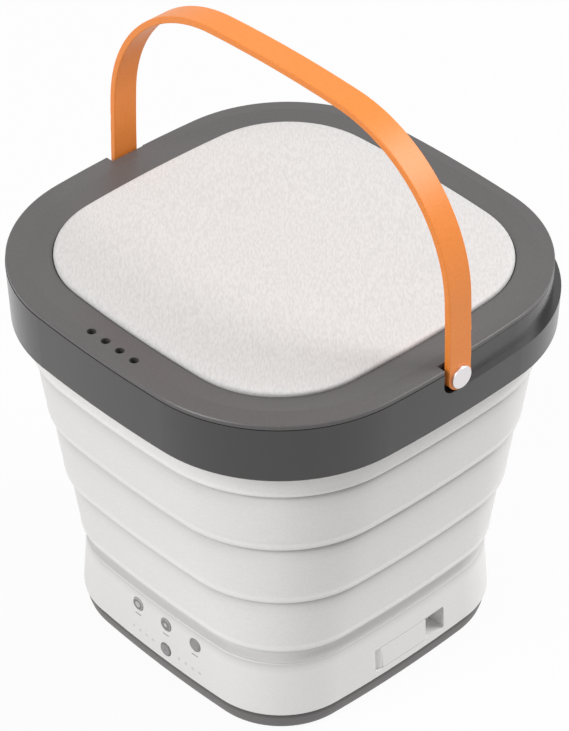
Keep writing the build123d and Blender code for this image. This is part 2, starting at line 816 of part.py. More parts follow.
with BuildPart() as inlet_nut:
    with BuildSketch(inlet_plane.offset(inlet_pad - inlet_back - 0.1)):
        RegularPolygon(8.5, 6)
        Circle(inlet_body_radius + press_gap, mode=Mode.SUBTRACT)
    extrude(amount=-2.4)
inlet_nut.part.label = "inlet_nut"
export_step(inlet_nut.part, "parts/inlet_nut.step")


def lead(points, radius):
    """A lead along straight runs, with each bend as large as its two runs allow."""
    points = [Vector(*point) for point in points]
    bends = []
    for before, at, after in zip(points, points[1:], points[2:]):
        shorter = min((at - before).length, (after - at).length)
        half_turn = math.radians((at - before).get_angle(after - at)) / 2
        bends.append(0.45 * shorter / math.tan(half_turn))
    print("lead bend radii", [round(bend, 1) for bend in bends])
    with BuildPart() as cable:
        with BuildLine() as route:
            FilletPolyline(*points, radius=bends)
        with BuildSketch(Plane(origin=route.line @ 0, z_dir=route.line % 0)):
            Circle(radius)
        sweep(path=route.line)
    return cable.part


lead_radius = 1.6
board_back = board_face + board_thick + socket_depth
beside_motor = can_radius + 19.0
with BuildPart() as motor_lead:
    add(
        lead([
            (0, -terminal_front, lead_height), (0, -terminal_front - 13, lead_height),
            (-12, board_back + 13, lead_socket_z), (-12, board_back, lead_socket_z),
        ], lead_radius)
    )
motor_lead.part.label = "motor_lead"
export_step(motor_lead.part, "parts/motor_lead.step")

with BuildPart() as inlet_lead:
    add(
        lead([
            (inlet_x, inlet_back, inlet_z), (inlet_x, inlet_back - 14, inlet_z),
            (beside_motor - 2, inlet_back - 36, inlet_z - 10), (beside_motor + 2, inlet_back - 64, 10),
            (beside_motor, -8, 8), (beside_motor - 2, board_back + 48, 11),
            (beside_motor - 13, board_back + 28, 23),
            (26, board_back + 13, lead_socket_z), (26, board_back, lead_socket_z),
        ], lead_radius)
    )
inlet_lead.part.label = "inlet_lead"
export_step(inlet_lead.part, "parts/inlet_lead.step")

# Drain: a housing behind the shell's opening, a fold-out spout on a hollow hinge, and a tube from the tub
pocket_back = hinge_x - hinge_radius - spout_gap
housing_back = pocket_back - housing_wall
pocket_left = spout_left - hinge_gap
pocket_low = spout_low - spout_gap
pocket_high = spout_high + spout_gap
ear_half = 4.5
sleeve_low = pocket_high - sleeve_length
hinge_spot = (hinge_x, hinge_y)
drain_plane = Plane(origin=(hinge_x, hinge_y, drain_height), x_dir=(0, 1, 0), z_dir=(-1, 0, 0))
with BuildPart() as drain_housing:
    add(
        block(
            (housing_back, pocket_left - housing_wall, pocket_low - housing_wall),
            (shell_half, notch_end + housing_wall, pocket_high + housing_wall),
        )
    )
    add(
        block(
            (ear_face, housing_ear_y[0] - ear_half, spout_middle - ear_half),
            (ear_face + ear_thick, housing_ear_y[1] + ear_half, spout_middle + ear_half),
        )
    )
    add(
        block(
            (housing_back, hinge_y - 6.5, pocket_high),
            (hinge_x + 6.5, hinge_y + 6.5, drain_height + sleeve_bore + 2.5),
        )
    )
    inside_shell = [(height, half - 0.15, corner - 0.15) for height, half, corner in shell_inner_levels]
    add(stack(inside_shell), mode=Mode.INTERSECT)
    pocket_front_corner = (2 * shell_half, notch_end, pocket_high)
    add(block((pocket_back, pocket_left, pocket_low), pocket_front_corner), mode=Mode.SUBTRACT)
    with BuildSketch(Plane.XY.offset(sleeve_low)):
        with Locations(hinge_spot):
            Circle(sleeve_radius)
    extrude(amount=sleeve_length + 0.5)
    with BuildSketch(drain_plane.offset(hinge_x - housing_back)):
        Circle(sleeve_radius)
    extrude(amount=nipple_length)
    with BuildSketch(drain_plane):
        Circle(nipple_bore)
    extrude(amount=hinge_x - housing_back + nipple_length, mode=Mode.SUBTRACT)
    with BuildSketch(Plane.XY.offset(sleeve_low)):
        with Locations(hinge_spot):
            Circle(sleeve_bore)
    extrude(amount=drain_height + nipple_bore + 0.6 - sleeve_low, mode=Mode.SUBTRACT)
    with BuildSketch(Plane.XY.offset(pocket_low - housing_wall)):
        with Locations(hinge_spot):
            Circle(hinge_pin_radius + press_gap)
    extrude(amount=housing_wall, mode=Mode.SUBTRACT)
    with BuildSketch(Plane.YZ.offset(ear_face)):
        with Locations(*[(along, spout_middle) for along in housing_ear_y]):
            Circle(small_screw_radius + 0.2)
    extrude(amount=ear_thick, mode=Mode.SUBTRACT)
drain_housing.part.label = "drain_housing"
export_step(drain_housing.part, "parts/drain_housing.step")

with BuildPart() as housing_screws:
    add(
        screw_set(
            Plane.YZ.offset(ear_face), [(along, spout_middle) for along in housing_ear_y],
            small_head_radius, small_head_height, small_screw_radius, ear_thick + 3.2,
        )
    )
housing_screws.part.label = "housing_screws"
export_step(housing_screws.part, "parts/housing_screws.step")

with BuildPart() as drain_tube:
    tube_start = sump_x + outlet_radius + 0.2
    with BuildSketch(outlet_plane.offset(tube_start - sump_x)):
        Circle(tube_radius)
        Circle(sleeve_radius + press_gap, mode=Mode.SUBTRACT)
    extrude(amount=housing_back - 0.2 - tube_start)
drain_tube.part.label = "drain_tube"
export_step(drain_tube.part, "parts/drain_tube.step")

groove_low = spout_high - 2.6
groove_height = 1.6
groove_radius = sleeve_radius + 1.0
channel_low = spout_middle - channel_height / 2
with BuildPart() as drain_spout:
    arm_back = hinge_x + hinge_radius - arm_thick
    add(block((arm_back, hinge_y, spout_low), (shell_half, spout_right, spout_high)))
    with BuildSketch(Plane.XY.offset(spout_low)):
        with Locations(hinge_spot):
            Circle(hinge_radius)
    extrude(amount=spout_high - spout_low)
    add(stack(shell_levels), mode=Mode.INTERSECT)
    for low, height, radius in (
        (channel_low, spout_high - channel_low, sleeve_radius + running_gap),
        (groove_low, groove_height, groove_radius),
        (spout_low, channel_low - spout_low, hinge_pin_radius + running_gap),
    ):
        with BuildSketch(Plane.XY.offset(low)):
            with Locations(hinge_spot):
                Circle(radius)
        extrude(amount=height, mode=Mode.SUBTRACT)
    channel_middle = (arm_back + hinge_x + hinge_radius) / 2
    add(
        block(
            (channel_middle - channel_width / 2, hinge_y, channel_low),
            (channel_middle + channel_width / 2, spout_right, channel_low + channel_height),
        ),
        mode=Mode.SUBTRACT,
    )
drain_spout.part.label = "drain_spout"
export_step(drain_spout.part, "parts/drain_spout.step")

with BuildPart() as spout_seal:
    with BuildSketch(Plane.XY.offset(groove_low)):
        with Locations(hinge_spot):
            Circle(groove_radius - press_gap)
            Circle(sleeve_radius + running_gap, mode=Mode.SUBTRACT)
    extrude(amount=groove_height)
spout_seal.part.label = "spout_seal"
export_step(spout_seal.part, "parts/spout_seal.step")

with BuildPart() as spout_pin:
    with BuildSketch(Plane.XY.offset(pocket_low - housing_wall)):
        with Locations(hinge_spot):
            Circle(hinge_pin_radius)
    extrude(amount=channel_low - 0.4 - pocket_low + housing_wall)
    with BuildSketch(Plane.XY.offset(pocket_low - housing_wall)):
        with Locations(hinge_spot):
            Circle(hinge_pin_radius + 1.0)
    extrude(amount=-1.0)
spout_pin.part.label = "spout_pin"
export_step(spout_pin.part, "parts/spout_pin.step")


# Bellows: bands that narrow downwards, each with a rounded lip that steps in over the band below
def band_outline(half_width):
    return half_width, band_corner + (half_width - band_half) * band_corner_rate


def band_outside(crease, top_half):
    shoulder = wall_draw + 0.35 * (shoulder_draw - wall_draw)
    profile = [
        (0.0, lip_draw),
        (lip_edge, shoulder_draw),
        (lip_rise / 2, shoulder),
        (lip_rise, wall_draw),
        (band_pitch - lip_edge, 0.0),
        (band_pitch + lip_overlap, 0.0),
    ]
    return [(crease + rise, *band_outline(top_half - draw)) for rise, draw in profile]


def band_inside(crease, top_half):
    lip_half, lip_corner = band_outline(top_half - band_step)
    levels = [
        (crease + rise, lip_half + slide_gap, lip_corner + slide_gap) for rise in (0.0, 1.5 * band_wall)
    ]
    for rise, draw in ((lip_rise, wall_draw), (band_pitch - lip_edge, 0.0), (band_pitch + lip_overlap, 0.0)):
        half_width, corner = band_outline(top_half - draw)
        levels.append((crease + rise, half_width - band_wall, corner - band_wall))
    return levels


bands = {
    "bellows_band_1": (crease_high, band_half),
    "bellows_band_2": (crease_middle, band_half - band_step),
    "bellows_band_3": (crease_low, band_half - 2 * band_step),
}
for name, (crease, top_half) in bands.items():
    with BuildPart() as band:
        add(stack(band_outside(crease, top_half)))
        if crease == crease_low:
            add(prism(shell_top, crease_low, neck_half, neck_corner))
            inside = band_inside(crease, top_half)[2:]
            neck = (neck_half - band_wall, neck_corner - band_wall)
            add(stack([(flange_bottom, *neck), (crease + band_wall, *neck), *inside]), mode=Mode.SUBTRACT)
            foot_corner_inside = opening_corner + bellows_foot_half - opening_half
            add(prism(shell_top, flange_bottom, bellows_foot_half, foot_corner_inside), mode=Mode.SUBTRACT)
            with BuildSketch(Plane.XY.offset(shell_top)):
                with Locations(*side_spots(floor_screw_half, floor_screw_offset)):
                    Circle(small_screw_radius + 0.2)
            extrude(amount=band_wall, mode=Mode.SUBTRACT)
        else:
            add(stack(band_inside(crease, top_half)), mode=Mode.SUBTRACT)
    band.part.label = name
    export_step(band.part, f"parts/{name}.step")

# Upper collar: the top of the bellows, with a flange that is clamped inside the rim
clamp_bottom = rim_bottom + 0.1
clamp_thick = 3.0
clamp_offset = 45.0
clamp_screw_radius = 1.0
clamp_head_radius = 1.9
clamp_head_height = 1.4
collar_flange_bottom = clamp_bottom + clamp_thick
collar_flange_top = collar_flange_bottom + band_wall
skin_half = rim_lower_half - rim_wall
skin_corner = rim_lower_corner - rim_wall
lip_half = band_half + slide_gap
lip_corner = band_corner + slide_gap
collar_inner = (collar_half - band_wall, collar_corner - band_wall)
with BuildPart() as bellows_upper_collar:
    add(
        stack([
            (crease_top, lip_half + 0.5, lip_corner + 0.5),
            (crease_top + lip_edge, lip_half + 1.5, lip_corner + 1.5),
            (crease_top + 3 * lip_edge, collar_half, collar_corner),
            (collar_flange_top, collar_half, collar_corner),
        ])
    )
    add(prism(collar_flange_bottom, collar_flange_top, skin_half - seat_gap, skin_corner - seat_gap))
    add(
        stack([
            (crease_top, lip_half, lip_corner),
            (crease_top + band_wall, lip_half, lip_corner),
            (crease_top + 2 * band_wall, *collar_inner),
            (collar_flange_top, *collar_inner),
        ]),
        mode=Mode.SUBTRACT,
    )
    clamp_half = (collar_half + skin_half) / 2
    clamp_corner = (collar_corner + skin_corner) / 2
    clamp_spots = side_spots(clamp_half, clamp_offset) + corner_spots(clamp_half, clamp_corner)
    with BuildSketch(Plane.XY.offset(collar_flange_bottom)):
        with Locations(*clamp_spots):
            Circle(clamp_screw_radius + 0.2)
    extrude(amount=band_wall, mode=Mode.SUBTRACT)
bellows_upper_collar.part.label = "bellows_upper_collar"
export_step(bellows_upper_collar.part, "parts/bellows_upper_collar.step")

with BuildPart() as rim_clamp_ring:
    add(ring(clamp_bottom, collar_flange_bottom, skin_half - 0.2, collar_half + seat_gap, skin_corner - 0.2))
    with BuildSketch(Plane.XY.offset(clamp_bottom)):
        with Locations(*clamp_spots):
            Circle(clamp_screw_radius + 0.2)
    extrude(amount=clamp_thick, mode=Mode.SUBTRACT)
    with BuildSketch(Plane.XY.offset(clamp_bottom)):
        with Locations(*clamp_spots):
            Circle(clamp_head_radius + 0.2)
    extrude(amount=clamp_head_height, mode=Mode.SUBTRACT)
rim_clamp_ring.part.label = "rim_clamp_ring"
export_step(rim_clamp_ring.part, "parts/rim_clamp_ring.step")

with BuildPart() as rim_screws:
    add(
        screw_set(
            Plane.XY.offset(clamp_bottom + clamp_head_height), clamp_spots,
            clamp_head_radius, clamp_head_height, clamp_screw_radius, 12.0,
        )
    )
rim_screws.part.label = "rim_screws"
export_step(rim_screws.part, "parts/rim_screws.step")


# Handle recess: cut round the back half of the rim and lid, so that the strap folds away flush
edge_break = 0.5
with BuildPart() as handle_recess:
    with BuildSketch(Plane.YZ.offset(-2 * rim_half)) as recess_side:
        with Locations((rim_half - recess_front / 2, (ledge + panel_top) / 2)):
            Rectangle(2 * rim_half + recess_front, panel_top - ledge)
        front_edge = recess_side.vertices().group_by(Axis.Y)[0].sort_by(Axis.X)[0]
        fillet(front_edge, pivot_height - ledge - 1.0)
    extrude(amount=4 * rim_half)
    add(
        stack([
            (ledge, recess_half, recess_corner),
            (frame_top - edge_break, recess_half, recess_corner),
            (frame_top, recess_half - edge_break, recess_corner - edge_break),
            (panel_top, recess_half - edge_break, recess_corner - edge_break),
        ]),
        mode=Mode.SUBTRACT,
    )

bore_half = collar_inner[0] + slide_gap
bore_corner = collar_inner[1] + slide_gap
inner_wall_half = bore_half + rim_wall
inner_wall_corner = bore_corner + rim_wall
channel_top = ledge - rim_wall
seat_depth = 1.8
seat_half = recess_half - 2.0
seat_corner = recess_corner - 2.0
rim_post_radius = 3.2
front_channel_top = rim_top - seat_depth - rim_wall
insert_inside = bore_half + 1.5
pivot_plane = Plane(origin=(0, 0, pivot_height), x_dir=(0, 1, 0), z_dir=(1, 0, 0))
with BuildPart() as rim_hollow:
    add(prism(collar_flange_top, front_channel_top, skin_half, skin_corner))
    add(prism(collar_flange_top, front_channel_top, inner_wall_half, inner_wall_corner), mode=Mode.SUBTRACT)
    back_corner = (2 * rim_half, 2 * rim_half, front_channel_top)
    add(block((-2 * rim_half, -recess_front - rim_wall, channel_top), back_corner), mode=Mode.SUBTRACT)
    post_height = front_channel_top - collar_flange_top
    post_base = Plane.XY.offset(collar_flange_top)
    add(columns(post_base, clamp_spots, rim_post_radius, post_height), mode=Mode.SUBTRACT)
with BuildPart() as rim:
    add(stack([(rim_bottom, rim_lower_half, rim_lower_corner), (rim_top, rim_half, rim_corner)]))
    add(prism(rim_bottom, rim_top, bore_half, bore_corner), mode=Mode.SUBTRACT)
    add(prism(rim_bottom, collar_flange_top, skin_half, skin_corner), mode=Mode.SUBTRACT)
    add(rim_hollow.part, mode=Mode.SUBTRACT)
    add(handle_recess.part, mode=Mode.SUBTRACT)
    add(prism(rim_top - seat_depth, rim_top, seat_half, seat_corner), mode=Mode.SUBTRACT)
    with BuildSketch(Plane.XY.offset(collar_flange_top)):
        with Locations(*clamp_spots):
            Circle(clamp_screw_radius + press_gap)
    extrude(amount=10.0, mode=Mode.SUBTRACT)
    for side in (-1, 1):
        with BuildSketch(pivot_plane.offset(side * recess_half)):
            Circle(insert_radius + press_gap)
        extrude(amount=side * (insert_inside - recess_half), mode=Mode.SUBTRACT)
rim.part.label = "rim"
export_step(rim.part, "parts/rim.step")

# Handle pivots: a screw, a threaded insert and a friction washer on each side
pivot_head_seat = strap_outer_half + 0.1
with BuildPart() as pivot_inserts:
    for side in (-1, 1):
        with BuildSketch(pivot_plane.offset(side * insert_inside)):
            Circle(insert_radius)
            Circle(pivot_shank_radius + press_gap, mode=Mode.SUBTRACT)
        extrude(amount=side * (recess_half - seat_gap - insert_inside))
pivot_inserts.part.label = "pivot_inserts"
export_step(pivot_inserts.part, "parts/pivot_inserts.step")

with BuildPart() as pivot_screws:
    for side in (-1, 1):
        with BuildSketch(pivot_plane.offset(side * insert_inside)):
            Circle(pivot_shank_radius)
        extrude(amount=side * (pivot_head_seat - insert_inside))
        with BuildSketch(pivot_plane.offset(side * pivot_head_seat)):
            Circle(pivot_head_radius)
        extrude(amount=side * pivot_head_height)
    head_faces = pivot_screws.faces().group_by(Axis.X)
    fillet(head_faces[0].edges() + head_faces[-1].edges(), 0.8)
pivot_screws.part.label = "pivot_screws"
export_step(pivot_screws.part, "parts/pivot_screws.step")

with BuildPart() as friction_washers:
    for side in (-1, 1):
        with BuildSketch(pivot_plane.offset(side * (recess_half + running_gap))):
            Circle(pivot_head_radius)
            Circle(pivot_shank_radius + running_gap, mode=Mode.SUBTRACT)
        extrude(amount=side * (swing_gap - 2 * running_gap))
friction_washers.part.label = "friction_washers"
export_step(friction_washers.part, "parts/friction_washers.step")

# Handle: a strap with the rim's own outline, upright in its rest position
strap_corner = recess_corner + strap_outer_half - recess_half
with BuildPart() as folded_strap:
    add(ring(-strap_width / 2, strap_width / 2, strap_outer_half, strap_inner_half, strap_corner))
    front_corner = (-2 * rim_half, -2 * rim_half, -strap_width)
    add(block(front_corner, (2 * rim_half, 0, strap_width)), mode=Mode.SUBTRACT)
    fillet(folded_strap.edges().filter_by(lambda edge: edge.center().Y > 20), 0.8)
upright = Location((0, 0, pivot_height), (90, 0, 0))
with BuildPart() as handle_strap:
    add(folded_strap.part.moved(upright))
    for side in (-1, 1):
        with BuildSketch(pivot_plane.offset(side * strap_inner_half)):
            Circle(strap_width / 2)
        extrude(amount=side * strap_thick)
        with BuildSketch(pivot_plane.offset(side * recess_half)):
            Circle(bush_radius + press_gap)
        extrude(amount=side * 2 * strap_thick, mode=Mode.SUBTRACT)
handle_strap.part.label = "handle_strap"
export_step(handle_strap.part, "parts/handle_strap.step")

with BuildPart() as handle_bushes:
    for side in (-1, 1):
        with BuildSketch(pivot_plane.offset(side * strap_inner_half)):
            Circle(bush_radius)
            Circle(pivot_shank_radius + running_gap, mode=Mode.SUBTRACT)
        extrude(amount=side * strap_thick)
handle_bushes.part.label = "handle_bushes"
export_step(handle_bushes.part, "parts/handle_bushes.step")

# Lid: a frame that drops into the rim, a padded panel on it, a liner under it and a gasket round it
lid_half = rim_half - seat_gap
lid_corner = rim_corner - seat_gap
skirt_half = bore_half - slide_gap
skirt_corner = bore_corner - slide_gap
skirt_wall = 2.4
core_bottom = lid_bottom - 2.8
skirt_bottom = core_bottom - 4.5
panel_seat = core_bottom + 2.5
panel_gap = 0.8
panel_ledge = 4.9
slope_depth = 1.3
vent_radius = 2.75
vent_pitch = 11.8
vent_inset = 12.7
vent_y = vent_inset - rim_half
panel_screw_half = panel_half - panel_ledge / 2
panel_screw_offset = 30.0
panel_edge_half = panel_half + panel_gap
panel_edge_corner = panel_corner + panel_gap
with BuildPart() as lid_frame:
    add(
        stack([
            (lid_bottom, lid_half, lid_corner),
            (frame_top - edge_break, lid_half, lid_corner),
            (frame_top, lid_half - edge_break, lid_corner - edge_break),
        ])
    )
    add(handle_recess.part, mode=Mode.SUBTRACT)
    pocket_half = recess_half - lift_clearance
    with BuildPart(mode=Mode.PRIVATE) as strap_pocket:
        add(block((-2 * rim_half, -recess_front, lid_bottom), (2 * rim_half, recess_front, frame_top)))
        add(prism(lid_bottom, frame_top, pocket_half, recess_corner - lift_clearance), mode=Mode.SUBTRACT)
    add(strap_pocket.part, mode=Mode.SUBTRACT)
    add(prism(core_bottom, lid_bottom, skirt_half, skirt_corner))
    add(ring(skirt_bottom, core_bottom, skirt_half, skirt_half - skirt_wall, skirt_corner))
    add(
        stack([
            (frame_top - slope_depth, panel_edge_half, panel_edge_corner),
            (frame_top, skirt_half, skirt_corner),
        ]),
        mode=Mode.SUBTRACT,
    )
    add(prism(panel_seat, frame_top, panel_edge_half, panel_edge_corner), mode=Mode.SUBTRACT)
    hole_half = panel_half - panel_ledge
    add(prism(core_bottom, frame_top, hole_half, panel_corner - panel_ledge), mode=Mode.SUBTRACT)
    with BuildSketch(Plane.XY.offset(core_bottom)):
        with Locations(*side_spots(panel_screw_half, panel_screw_offset)):
            Circle(small_screw_radius + 0.2)
    extrude(amount=panel_seat - core_bottom, mode=Mode.SUBTRACT)
    with BuildSketch(Plane.XY.offset(skirt_bottom)):
        with Locations((0, vent_y)):
            with GridLocations(vent_pitch, 0, 4, 1):
                Circle(vent_radius)
    extrude(amount=frame_top - skirt_bottom, mode=Mode.SUBTRACT)
lid_frame.part.label = "lid_frame"
export_step(lid_frame.part, "parts/lid_frame.step")

panel_bottom = panel_seat + 0.1
with BuildPart() as lid_panel:
    add(prism(panel_bottom, panel_top, panel_half, panel_corner))
    fillet(lid_panel.faces().sort_by(Axis.Z)[-1].edges(), 1.8)
    with BuildSketch(Plane.XY.offset(panel_bottom)):
        with Locations(*side_spots(panel_screw_half, panel_screw_offset)):
            Circle(small_screw_radius + press_gap)
    extrude(amount=3.0, mode=Mode.SUBTRACT)
lid_panel.part.label = "lid_panel"
export_step(lid_panel.part, "parts/lid_panel.step")

with BuildPart() as lid_screws:
    add(
        screw_set(
            Plane.XY.offset(core_bottom), side_spots(panel_screw_half, panel_screw_offset),
            small_head_radius, small_head_height, small_screw_radius, panel_bottom + 2.8 - core_bottom,
        )
    )
lid_screws.part.label = "lid_screws"
export_step(lid_screws.part, "parts/lid_screws.step")

liner_half = skirt_half - skirt_wall - press_gap
liner_corner = skirt_corner - skirt_wall - press_gap
liner_thick = 1.8
with BuildPart() as lid_liner:
    liner_bottom = skirt_bottom + 0.4
    add(prism(liner_bottom, liner_bottom + liner_thick, liner_half, liner_corner))
    add(ring(liner_bottom + liner_thick, core_bottom, liner_half, liner_half - 2.0, liner_corner))
lid_liner.part.label = "lid_liner"
export_step(lid_liner.part, "parts/lid_liner.step")

gasket_half = seat_half - 0.4
gasket_width = 2.2
with BuildPart() as lid_gasket:
    gasket_bottom = rim_top - seat_depth + seat_gap
    add(ring(gasket_bottom, lid_bottom, gasket_half, gasket_half - gasket_width, seat_corner - 0.4))
lid_gasket.part.label = "lid_gasket"
export_step(lid_gasket.part, "parts/lid_gasket.step")
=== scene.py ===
import math

import bpy
from mathutils import Matrix, Quaternion, Vector


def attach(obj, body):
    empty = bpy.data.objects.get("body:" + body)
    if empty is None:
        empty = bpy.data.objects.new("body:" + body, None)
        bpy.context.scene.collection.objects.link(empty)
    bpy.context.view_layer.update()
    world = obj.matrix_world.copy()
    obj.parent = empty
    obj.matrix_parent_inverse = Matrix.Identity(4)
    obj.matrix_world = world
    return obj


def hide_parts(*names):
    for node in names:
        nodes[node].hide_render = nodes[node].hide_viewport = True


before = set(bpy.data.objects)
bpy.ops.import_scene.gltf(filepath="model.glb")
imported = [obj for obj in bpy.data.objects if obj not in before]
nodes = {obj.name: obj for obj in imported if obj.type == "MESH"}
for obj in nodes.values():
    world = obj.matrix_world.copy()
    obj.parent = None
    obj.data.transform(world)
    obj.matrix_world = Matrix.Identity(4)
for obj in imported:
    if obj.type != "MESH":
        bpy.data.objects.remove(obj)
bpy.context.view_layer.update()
mm = 0.001
print("frame loaded,", len(nodes), "nodes")


# Materials

# Colours are sRGB, grain and height are in mm. Mould textures, plating and ink are too fine to show
# in the render, so each grain is drawn as coarse as it needs to show
mottling = {"detail": 3.0, "spread": (0.35, 0.65)}


def linear(hexColour):
    channels = [int(hexColour[i:i + 2], 16) / 255 for i in (1, 3, 5)]
    return [c / 12.92 if c <= 0.04045 else ((c + 0.055) / 1.055) ** 2.4 for c in channels] + [1.0]


def addNode(tree, kind, settings=None, links=None):
    node = tree.nodes.new(kind)
    for key, value in (settings or {}).items():
        if isinstance(key, int) or key in node.inputs:
            node.inputs[key].default_value = value
        else:
            setattr(node, key, value)
    for key, source in (links or {}).items():
        tree.links.new(source, node.inputs[key])
    return node


def partsOf(material):
    # the node tree, its shader, and where each point lies on the object
    tree = material.node_tree
    return tree, tree.nodes["Principled BSDF"], tree.nodes["place"].outputs["Object"]


def addGrain(material, look):
    # tint is the second colour of the mottling, wear the two ends of a roughness that varies with it
    tree, shader, where = partsOf(material)
    fine = addNode(tree, "ShaderNodeTexNoise",
                   {"Scale": 1 / (look["grain"] * mm), "Detail": mottling["detail"]}, {"Vector": where})
    bump = addNode(tree, "ShaderNodeBump", {"Strength": 1.0, "Distance": look["height"] * mm},
                   {"Height": fine.outputs["Fac"]})
    tree.links.new(bump.outputs["Normal"], shader.inputs["Normal"])
    if "tint" in look:
        ramp = addNode(tree, "ShaderNodeValToRGB", {}, {"Fac": fine.outputs["Fac"]})
        dark, pale = ramp.color_ramp.elements
        dark.position, pale.position = mottling["spread"]
        dark.color, pale.color = linear(look["tint"]), linear(look["colour"])
        tree.links.new(ramp.outputs["Color"], shader.inputs["Base Color"])
    if "wear" in look:
        low, high = look["wear"]
        worn = addNode(tree, "ShaderNodeMapRange", {"To Min": low, "To Max": high},
                       {"Value": fine.outputs["Fac"]})
        tree.links.new(worn.outputs["Result"], shader.inputs["Roughness"])


def newSurface(name, look):
    # a metal has no ior in its dictionary and keeps the default
    material = bpy.data.materials.new(name)
    material.use_nodes = True
    material.diffuse_color = linear(look["colour"])
    sockets = material.node_tree.nodes["Principled BSDF"].inputs
    sockets["Base Color"].default_value = linear(look["colour"])
    sockets["Roughness"].default_value = look["roughness"]
    sockets["Metallic"].default_value = look.get("metallic", 0.0)
    if "ior" in look:
        sockets["IOR"].default_value = look["ior"]
    addNode(material.node_tree, "ShaderNodeTexCoord", {"name": "place"})
    if "grain" in look:
        addGrain(material, look)
    return material


# Where round a corner the painted shade starts and ends to fade: the smaller of x and y as a share
# of the larger
cornerFade = {"start": 0.5, "end": 0.95}


def paintShadeByHeight(material, shade, colour):
    # paints shade by height: stops are heights in mm with their share of the darker painted shade colour, and
    # corners is how much of it they keep
    tree, shader, where = partsOf(material)
    lowest, highest = shade["span"]
    axes = addNode(tree, "ShaderNodeSeparateXYZ", {}, {"Vector": where})
    upward = addNode(tree, "ShaderNodeMapRange", {"From Min": lowest * mm, "From Max": highest * mm},
                     {"Value": axes.outputs["Z"]})
    ramp = addNode(tree, "ShaderNodeValToRGB", {}, {"Fac": upward.outputs["Result"]})
    stops = ramp.color_ramp.elements
    stops[0].color = stops[1].color = (0, 0, 0, 1)
    for height, share in shade["stops"]:
        stops.new((height - lowest) / (highest - lowest)).color = (share, share, share, 1)
    across, along = [addNode(tree, "ShaderNodeMath", {"operation": "ABSOLUTE"}, {0: axes.outputs[axis]})
                     for axis in ("X", "Y")]
    less, more = [addNode(tree, "ShaderNodeMath", {"operation": pick},
                          {0: across.outputs[0], 1: along.outputs[0]}) for pick in ("MINIMUM", "MAXIMUM")]
    ratio = addNode(tree, "ShaderNodeMath", {"operation": "DIVIDE"}, {0: less.outputs[0], 1: more.outputs[0]})
    flats = addNode(tree, "ShaderNodeMapRange",
                    {"From Min": cornerFade["start"], "From Max": cornerFade["end"],
                     "To Min": 1.0, "To Max": shade["corners"]}, {"Value": ratio.outputs[0]})
    amount = addNode(tree, "ShaderNodeMath", {"operation": "MULTIPLY"},
                     {0: ramp.outputs["Color"], 1: flats.outputs[0]})
    mixed = addNode(tree, "ShaderNodeMixRGB", {"Color2": linear(colour)},
                    {"Fac": amount.outputs[0], "Color1": shader.inputs["Base Color"].links[0].from_socket})
    tree.links.new(mixed.outputs["Color"], shader.inputs["Base Color"])


# Thermoplastic rubber, moulded: soft pale satin with a faint cloudiness, with painted shade under each lip
# and in the neck's cove
elastomer = {
    "colour": "#F0EFED", "tint": "#EBEAE8", "roughness": 0.52, "ior": 1.49, "grain": 1.4, "height": 0.012,
    "fold": "#BEBCBB",
    # each lip's height, and the share of the painted shade colour that the wall round it has everywhere
    "lips": [(108.8, 0.05), (154.8, 0.12), (199.9, 0.15)],
    # down from a lip, and the share of painted shadow there under the lip: added to the wall's, or instead of
    # it
    "wall": [(22.0, 0.0), (12.0, 0.08), (6.5, 0.3)], "lipShadow": [(3.0, 0.85), (0.6, 1.0)], "lipShadowTop": 0.3,
    "bands": {"span": (64.0, 226.0), "corners": 0.45, "stops": []},
    # painted shade on the neck: darkest just above the shell's top edge and just under the lowest lip
    "neck": {"span": (50.0, 66.0), "corners": 0.7,
             "stops": [(54.1, 0.95), (57.5, 0.8), (60.0, 0.55), (61.5, 0.75), (63.6, 0.95), (63.9, 0.0)]},
    # painted shadow of the rim on the collar, darkest just under the rim
    "collar": {"span": (190.0, 226.0), "corners": 1.0,
               "stops": [(199.0, 0.12), (206.0, 0.2), (214.0, 0.32), (222.0, 0.6)]},
}
for lip, rest in elastomer["lips"]:
    elastomer["bands"]["stops"] += [(lip - down, share + rest) for down, share in elastomer["wall"]]
    elastomer["bands"]["stops"] += [(lip - down, share) for down, share in elastomer["lipShadow"]]
    elastomer["bands"]["stops"] += [(lip - elastomer["lipShadowTop"], rest)]
tpeMoulded = newSurface("tpeMoulded", elastomer)
paintShadeByHeight(tpeMoulded, elastomer["bands"], elastomer["fold"])
paintShadeByHeight(tpeMoulded, elastomer["neck"], elastomer["fold"])
# a second copy of the rubber, carrying the rim's painted shadow on the collar
tpeCollarShaded = newSurface("tpeCollarShaded", elastomer)
paintShadeByHeight(tpeCollarShaded, elastomer["collar"], elastomer["fold"])

# ABS, spark-eroded mould: even white satin with a fine pebble, with painted shadow just below its top edge,
# under the bellows' lowest lip
whiteAbs = {
    "colour": "#EBEAE8", "tint": "#E6E5E3", "roughness": 0.38, "ior": 1.53, "grain": 0.9, "height": 0.01,
    # edge is the painted shadow's colour, top its heights and shares below the shell's top edge
    "edge": "#CDCBCA",
    "top": {"span": (0.0, 60.0), "corners": 1.0,
            "stops": [(46.0, 0.0), (50.0, 0.35), (52.6, 0.9), (53.2, 0.0)]},
}
absWhite = newSurface("absWhite", whiteAbs)
paintShadeByHeight(absWhite, whiteAbs["top"], whiteAbs["edge"])

# ABS, polished mould: dark grey that mirrors the studio at a glance
absPolishedGrey = newSurface("absPolishedGrey", {
    "colour": "#312F2F", "roughness": 0.22, "ior": 1.6, "grain": 2.5, "height": 0.004, "wear": (0.19, 0.26)})

# ABS, etched mould: the lid's frame, a softer grey with a fine fibrous etch
absEtchedGrey = newSurface("absEtchedGrey", {
    "colour": "#5B5858", "tint": "#525050", "roughness": 0.36, "ior": 1.53, "grain": 0.8, "height": 0.02,
    "wear": (0.3, 0.42)})
